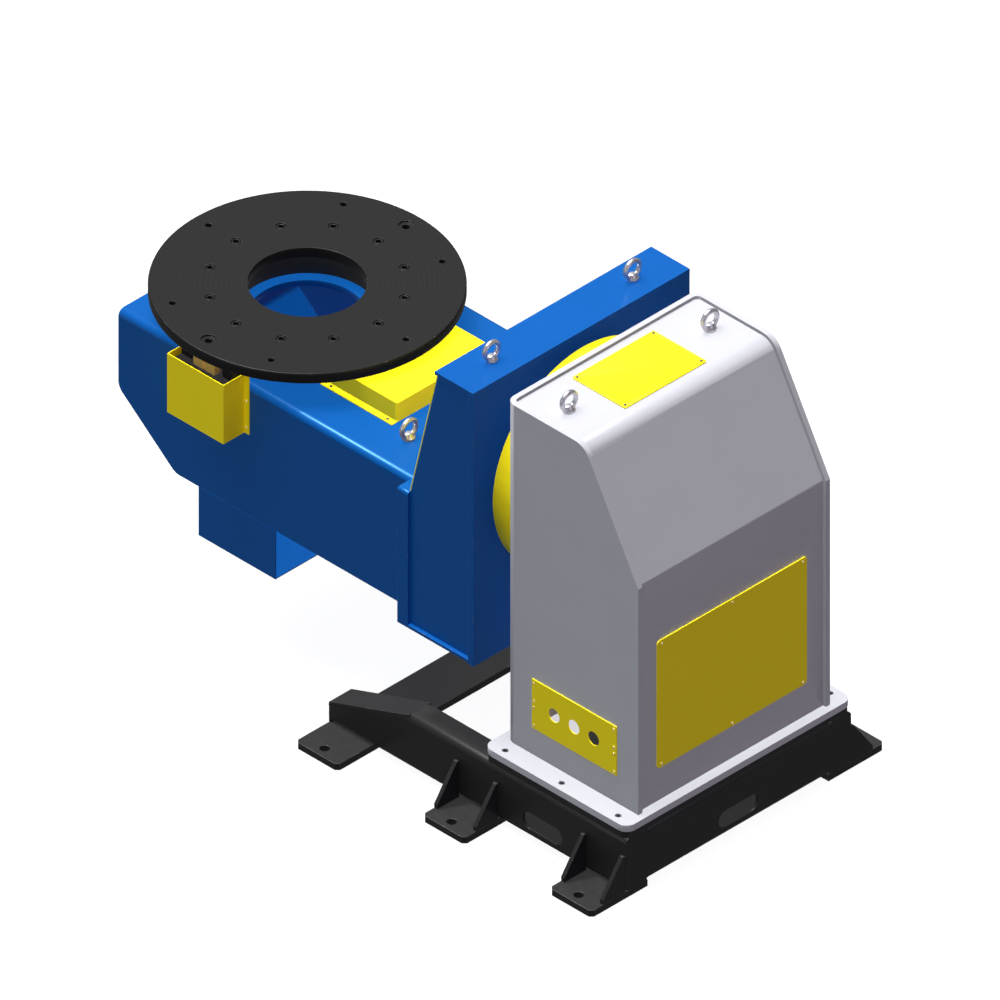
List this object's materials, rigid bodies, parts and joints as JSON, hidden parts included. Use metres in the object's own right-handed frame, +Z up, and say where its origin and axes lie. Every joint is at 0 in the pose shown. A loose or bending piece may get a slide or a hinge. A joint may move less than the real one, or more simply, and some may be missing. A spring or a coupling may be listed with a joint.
{
  "type": "welding positioner",
  "caption": "Two-axis welding positioner: headstock on a floor frame carries an L-shaped arm on a geared tilt ring, and the arm carries a geared round turntable.",
  "frame": {"origin": "middle of the four corner floor anchor holes, on the floor", "axes": "+X from the arm towards the headstock, parallel to the tilt axis; +Y to the left when looking along +X; +Z up"},
  "size_m": [1.9329, 1.04, 1.327],
  "materials": {
    "black_paint": "semi-gloss black coat",
    "blue_paint": "satin blue coat",
    "yellow_paint": "satin yellow powder coat",
    "light_paint": "satin light grey-white coat",
    "table_steel": "dark machined and blackened steel",
    "ring_steel": "machined bearing steel",
    "zinc_screws": "zinc-plated",
    "black_screws": "blackened high-strength screws",
    "reducer_metal": "grey gearbox paint",
    "motor_metal": "black motor paint",
    "holder_plastic": "black insulating laminate",
    "brush_bronze": "sintered copper-graphite, bronze coloured",
    "spring_steel": "spring strip"
  },
  "bodies": {
    "base": {"side_beam_left": "black_paint", "side_beam_right": "black_paint", "rear_cross_tube": "black_paint", "middle_cross_tube": "black_paint", "front_floor_bar": "black_paint", "foot_middle_left": "black_paint", "foot_middle_right": "black_paint", "foot_rear_left": "black_paint", "foot_rear_right": "black_paint", "foot_gussets": "black_paint", "beam_end_caps": "black_paint", "pad_plate": "black_paint", "base_plate": "light_paint", "base_bolts": "black_screws", "headstock_frame": "light_paint", "headstock_cover_sheet": "light_paint", "top_cover": "yellow_paint", "rear_cover": "yellow_paint", "gland_panel": "yellow_paint", "headstock_cover_screws": "zinc_screws", "headstock_lifting_eyes": "zinc_screws", "tilt_fixed_ring": "ring_steel", "tilt_fixed_ring_bolts": "black_screws", "tilt_reducer": "reducer_metal", "tilt_servo_motor": "motor_metal", "tilt_guard_left": "yellow_paint", "tilt_guard_right": "yellow_paint"},
    "arm": {"tilt_gear_ring": "ring_steel", "tilt_gear_ring_bolts": "black_screws", "upright_front_plate": "blue_paint", "upright_side_left": "blue_paint", "upright_side_right": "blue_paint", "upright_top_plate": "blue_paint", "upright_bottom_plate": "blue_paint", "upright_back_cover": "yellow_paint", "arm_top_plate": "blue_paint", "arm_side_left": "blue_paint", "arm_side_right": "blue_paint", "arm_belly_plate": "blue_paint", "arm_trough": "blue_paint", "arm_flange": "blue_paint", "arm_lifting_eyes": "zinc_screws", "arm_cover_screws": "zinc_screws", "pinion_cover": "yellow_paint", "brush_box": "yellow_paint", "brush_holder": "holder_plastic", "brush_spring_front": "spring_steel", "brush_spring_rear": "spring_steel", "table_fixed_ring": "ring_steel", "table_fixed_ring_bolts": "black_screws", "table_reducer": "reducer_metal", "table_servo_motor": "motor_metal"},
    "table": {"table_plate": "table_steel", "table_bolts": "black_screws", "table_gear_ring": "ring_steel"},
    "table_pinion": {"table_pinion": "ring_steel"},
    "tilt_pinion": {"tilt_pinion": "ring_steel"},
    "brush_front": {"brush_front": "brush_bronze"},
    "brush_rear": {"brush_rear": "brush_bronze"}
  },
  "joints": [
    {"name": "tilt", "type": "hinge", "parent": "base", "child": "arm", "pos_m": [0, 0, 0.9], "axis": [1, 0, 0], "range_deg": [-180, 180]},
    {"name": "table_spin", "type": "hinge", "parent": "arm", "child": "table", "pos_m": [-1.002, 0, 0.9], "axis": [0, 0, 1], "continuous": true},
    {"name": "tilt_pinion_spin", "type": "hinge", "parent": "base", "child": "tilt_pinion", "pos_m": [0, 0, 0.54], "axis": [1, 0, 0], "range_deg": [-900, 900]},
    {"name": "table_pinion_spin", "type": "hinge", "parent": "arm", "child": "table_pinion", "pos_m": [-0.642, 0, 0.86], "axis": [0, 0, 1], "continuous": true},
    {"name": "brush_front_slide", "type": "slide", "parent": "arm", "child": "brush_front", "axis": [0, 0, 1], "range_m": [-0.006, 0], "stiffness_N_per_m": 2000, "springref_m": 0.004, "deforming": ["brush_spring_front"]},
    {"name": "brush_rear_slide", "type": "slide", "parent": "arm", "child": "brush_rear", "axis": [0, 0, 1], "range_m": [-0.006, 0], "stiffness_N_per_m": 2000, "springref_m": 0.004, "deforming": ["brush_spring_rear"]}
  ],
  "couplings": [
    {"joint": "tilt_pinion_spin", "follows": "tilt", "ratio": -5},
    {"joint": "table_pinion_spin", "follows": "table_spin", "ratio": -5}
  ]
}
